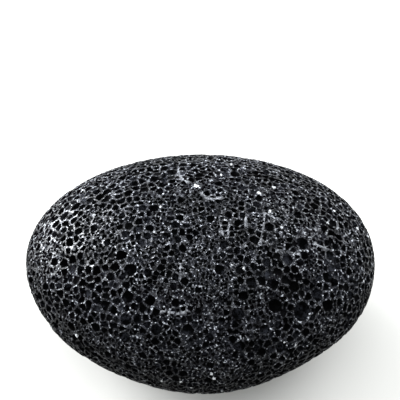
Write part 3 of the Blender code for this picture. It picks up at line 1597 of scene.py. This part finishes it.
@dataclass(frozen=True)
class LavaFinish:
    """Charcoal volcanic glass, grey where tumbling has rubbed its walls, with the inside of its pores painted
    black as painted shade.
    """

    # Painted shade: the near-black of deep pores and pinholes, much darker than the glass itself.
    hollow: Colour = (0.0007, 0.0007, 0.0009)
    floor: Colour = (0.026, 0.0275, 0.034)
    wall_dark: Colour = (0.0025, 0.0026, 0.0033)
    wall_light: Colour = (0.037, 0.0385, 0.047)
    ridge: Colour = (0.40, 0.41, 0.44)
    speck: Colour = (0.52, 0.53, 0.545)
    # Painted glint: pale specks on the walls that stand in for the gleam of the glass.
    painted_glint: Colour = (0.50, 0.52, 0.56)
    patch_scale: float = 90.0
    mottle_scale: float = 700.0
    grain_scale: float = 2400.0
    detail: float = 3.0
    shine_grain: float = 0.6
    shine_at: tuple[float, float] = (0.42, 0.60)
    painted_glint_grain: float = 0.65
    painted_glint_at: tuple[float, float] = (0.562, 0.645)
    floor_tone_at: tuple[float, float] = (0.35, 1.0)
    floor_mottle_at: tuple[float, float] = (0.35, 0.62)
    tone_spread: float = 0.9
    tone_least: float = 0.55
    ridge_shine: float = 0.50
    ridge_least: float = 0.40
    # Painted shade: colour and coat darken towards the stone's foot, down to this share, between these
    # heights in metres.
    painted_low_shade_least: float = 0.25
    painted_low_shade_rise: tuple[float, float] = (0.022, 0.039)
    patch_at: tuple[float, float] = (0.3, 0.7)
    patch_spread: float = 0.7
    patch_least: float = 0.65
    speck_mottle: float = 0.9
    speck_grain: float = 0.5
    speck_edge: float = 0.25
    speck_depth: tuple[float, float] = (1.1, 0.6)
    rim_reach: float = 0.16
    pinhole_pitch: float = 0.00062
    wall_roughness: float = 0.48
    hollow_roughness: float = 0.85
    specular: float = 0.04
    glaze: float = 0.56
    glaze_roughness: float = 0.42
    grain_bump: float = 0.8
    bump: float = 0.8
    bump_depth: float = 0.00030

    def _masks(self, desk: NodeDesk) -> LavaMasks:
        """Reads the mesh's numbers and makes the patterns.

        Args:
            desk: the material's nodes.

        Returns:
            The masks.
        """
        place = desk.add("ShaderNodeTexCoord").outputs["Object"]
        depth, tone, ridge, speck = (desk.read(name) for name in ("depth", "tone", "ridge", "grain"))
        patchy = desk.noise(place, self.patch_scale, self.detail)
        mottled = desk.noise(place, self.mottle_scale, self.detail)
        grain = desk.noise(place, self.grain_scale, self.detail)
        froth = desk.place(MicroFroth().make(), Vector=place, Pitch=self.pinhole_pitch, Share=mottled)
        rim = desk.place(worn_rim_and_pore_shade_group(), Depth=depth, Reach=self.rim_reach, Unevenness=mottled)
        shine = desk.step(desk.blend(mottled, grain, self.shine_grain), *self.shine_at)
        rise = desk.add("ShaderNodeSeparateXYZ", Vector=place).outputs["Z"]
        # Painted shade: 1 high on the stone, easing down to a low share at its foot.
        painted_low_shade = desk.line(desk.step(rise, *self.painted_low_shade_rise), 1 - self.painted_low_shade_least, self.painted_low_shade_least)
        return LavaMasks(
            depth=depth, tone=tone, ridge=ridge, speck=speck, patchy=patchy, mottled=mottled, grain=grain,
            shine=shine, rim=rim["Mask"], holes=froth["Holes"], hole_height=froth["Height"], painted_low_shade=painted_low_shade,
        )

    def _walls(self, desk: NodeDesk, masks: LavaMasks) -> Socket:
        """Colours the rubbed walls.

        Args:
            desk: the material's nodes.
            masks: its masks.

        Returns:
            The colour, which differs a little from bubble to bubble, with painted glints, and its pinholes
            painted black as painted shade.
        """
        wall = desk.mix(masks.shine, self.wall_dark, self.wall_light)
        # Painted glints: rare pale specks standing in for glints on the glass.
        painted_glint = desk.step(desk.blend(masks.mottled, masks.grain, self.painted_glint_grain), *self.painted_glint_at)
        # Painted shade: the pinholes take the near-black of the pores.
        wall = desk.mix(masks.holes, desk.mix(painted_glint, wall, self.painted_glint), self.hollow)
        return desk.scale(wall, desk.line(masks.tone, self.tone_spread, self.tone_least))

    def _floors(self, desk: NodeDesk, masks: LavaMasks) -> Socket:
        """Colours the inside of the bubbles.

        Args:
            desk: the material's nodes.
            masks: its masks.

        Returns:
            The colour: painted shade, near-black, but for some floors, chosen at random, painted grey as if
                lit.
        """
        mottle = desk.step(masks.mottled, *self.floor_mottle_at)
        lit = desk.times(desk.step(masks.tone, *self.floor_tone_at), mottle)
        # Painted shade inside the pores, with their pinholes painted black too.
        return desk.mix(masks.holes, desk.mix(lit, self.hollow, self.floor), self.hollow)

    def _colour(self, desk: NodeDesk, masks: LavaMasks) -> Socket:
        """Colours the stone.

        Args:
            desk: the material's nodes.
            masks: its masks.

        Returns:
            The colour of walls, floors, ridges and pale grains.
        """
        # Below the rubbed rims the pores take the painted shade of the floors.
        colour = desk.mix(masks.rim, self._floors(desk, masks), self._walls(desk, masks))
        bare = desk.times(masks.rim, desk.line(masks.shine, self.ridge_shine, self.ridge_least))
        colour = desk.mix(desk.times(masks.ridge, bare), colour, self.ridge)
        bleach = desk.line(desk.step(masks.patchy, *self.patch_at), self.patch_spread, self.patch_least)
        # Random pale patches, and painted shade that darkens the stone towards its foot.
        colour = desk.scale(colour, desk.times(bleach, masks.painted_low_shade))
        grainy = desk.line(masks.grain, self.speck_grain, self.speck_edge)
        edge = desk.line(masks.mottled, self.speck_mottle, grainy)
        speck = desk.step(masks.speck, edge, desk.math("ADD", edge, self.speck_edge))
        return desk.mix(desk.times(speck, desk.step(masks.depth, *self.speck_depth)), colour, self.speck)

    def make(self) -> bpy.types.Material:
        """Builds the material.

        Returns:
            The material, which reads the mesh's depth, tone, ridge and grain.
        """
        material = bpy.data.materials.new("lava_froth")
        material.use_nodes = True
        desk = NodeDesk(material.node_tree)
        inputs = material.node_tree.nodes["Principled BSDF"].inputs
        masks = self._masks(desk)
        desk.put(inputs["Base Color"], self._colour(desk, masks))
        rubbed = self.wall_roughness - self.hollow_roughness
        desk.put(inputs["Roughness"], desk.line(masks.rim, rubbed, self.hollow_roughness))
        desk.put(inputs["Specular IOR Level"], self.specular)
        shine = desk.times(masks.shine, self.glaze)
        # The coat keeps to the rubbed rims and fades with the painted shade towards the foot.
        desk.put(inputs["Coat Weight"], desk.times(desk.times(masks.rim, masks.painted_low_shade), shine))
        desk.put(inputs["Coat Roughness"], self.glaze_roughness)
        height = desk.line(masks.grain, self.grain_bump, masks.hole_height)
        bump = desk.add("ShaderNodeBump", Strength=self.bump, Distance=self.bump_depth, Height=height)
        desk.put(inputs["Normal"], bump.outputs["Normal"])
        return material


@dataclass(frozen=True)
class SoftBox:
    """A square soft light that faces the origin."""

    name: str
    place: tuple[float, float, float]
    size: float
    power: float
    colour: Colour = (0.94, 0.97, 1.0)

    def make(self) -> None:
        """Hangs the light."""
        data = bpy.data.lights.new(self.name, "AREA")
        data.energy, data.shape, data.size, data.color = self.power, "SQUARE", self.size, self.colour
        light = bpy.data.objects.new(self.name, data)
        light.location = self.place
        light.rotation_euler = (-Vector(self.place)).to_track_quat("-Z", "Y").to_euler()
        bpy.context.scene.collection.objects.link(light)


@dataclass(frozen=True)
class Studio:
    """A pale floor, soft light from above and behind, and the camera."""

    form: StoneForm
    floor_side: float = 6.0
    floor_colour: Colour = (0.49, 0.478, 0.452)
    floor_roughness: float = 0.9
    lens: float = 79.8
    drop: float = 56.0
    tilt: float = 51.56
    distance: float = 0.2463
    nearest: float = 0.01
    sky_colour: Colour = (0.93, 0.97, 1.0)
    fill: float = 0.40
    sky: float = 2.0
    sky_rise: tuple[float, float] = (0.15, 0.85)
    sky_lean: float = 0.17
    key: SoftBox = SoftBox("key", (-0.86, 0.52, 0.22), 0.70, 61.0)
    side: SoftBox = SoftBox("side", (0.62, 0.54, 0.48), 0.60, 8.5)

    def make_camera(self) -> None:
        """Looks down on the stone from its long side."""
        data = bpy.data.cameras.new("camera")
        data.lens = self.lens
        data.clip_start = self.nearest
        camera = bpy.data.objects.new("camera", data)
        drop = math.radians(self.drop)
        middle = Vector((0, 0, self.form.middle_height))
        camera.location = middle + self.distance * Vector((0, -math.cos(drop), math.sin(drop)))
        camera.rotation_euler = (math.radians(90 - self.tilt), 0, 0)
        bpy.context.scene.collection.objects.link(camera)
        bpy.context.scene.camera = camera

    def make_floor(self) -> None:
        """Lays the floor."""
        bpy.ops.object.select_all(action="DESELECT")
        bpy.ops.mesh.primitive_plane_add(size=self.floor_side, location=(0, 0, 0))
        floor = bpy.context.object
        floor.name = "floor"
        material = bpy.data.materials.new("pale_floor")
        material.use_nodes = True
        shader = material.node_tree.nodes["Principled BSDF"]
        shader.inputs["Base Color"].default_value = (*self.floor_colour, 1)
        shader.inputs["Roughness"].default_value = self.floor_roughness
        floor.data.materials.append(material)

    def make_lights(self) -> None:
        """Hangs a low soft key behind the stone on the left, a weaker one on the right, and a pale sky."""
        self.key.make()
        self.side.make()
        world = bpy.data.worlds.new("surround")
        world.use_nodes = True
        back = world.node_tree.nodes["Background"]
        back.inputs["Color"].default_value = (*self.sky_colour, 1)
        desk = NodeDesk(world.node_tree)
        way = desk.add("ShaderNodeTexCoord").outputs["Generated"]
        parts = desk.add("ShaderNodeSeparateXYZ", Vector=way).outputs
        height = desk.line(parts["Y"], self.sky_lean, parts["Z"])
        overhead = desk.step(height, *self.sky_rise)
        desk.put(back.inputs["Strength"], desk.line(overhead, self.sky, self.fill))
        bpy.context.scene.world = world
        bpy.context.scene.view_settings.view_transform = "Standard"


def main() -> None:
    """Builds the stone, dresses it and lights it."""
    logging.basicConfig(level=logging.INFO, format="%(name)s: %(message)s")
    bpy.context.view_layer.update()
    form = StoneForm()
    studio = Studio(form)
    studio.make_camera()
    stone = PumiceStone(form, Ridges(form), Crystals(form)).make()
    stone.data.materials.clear()
    stone.data.materials.append(LavaFinish().make())
    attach(stone, BODY)
    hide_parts(NODE)
    studio.make_floor()
    studio.make_lights()


if __name__ == "__main__":
    main()
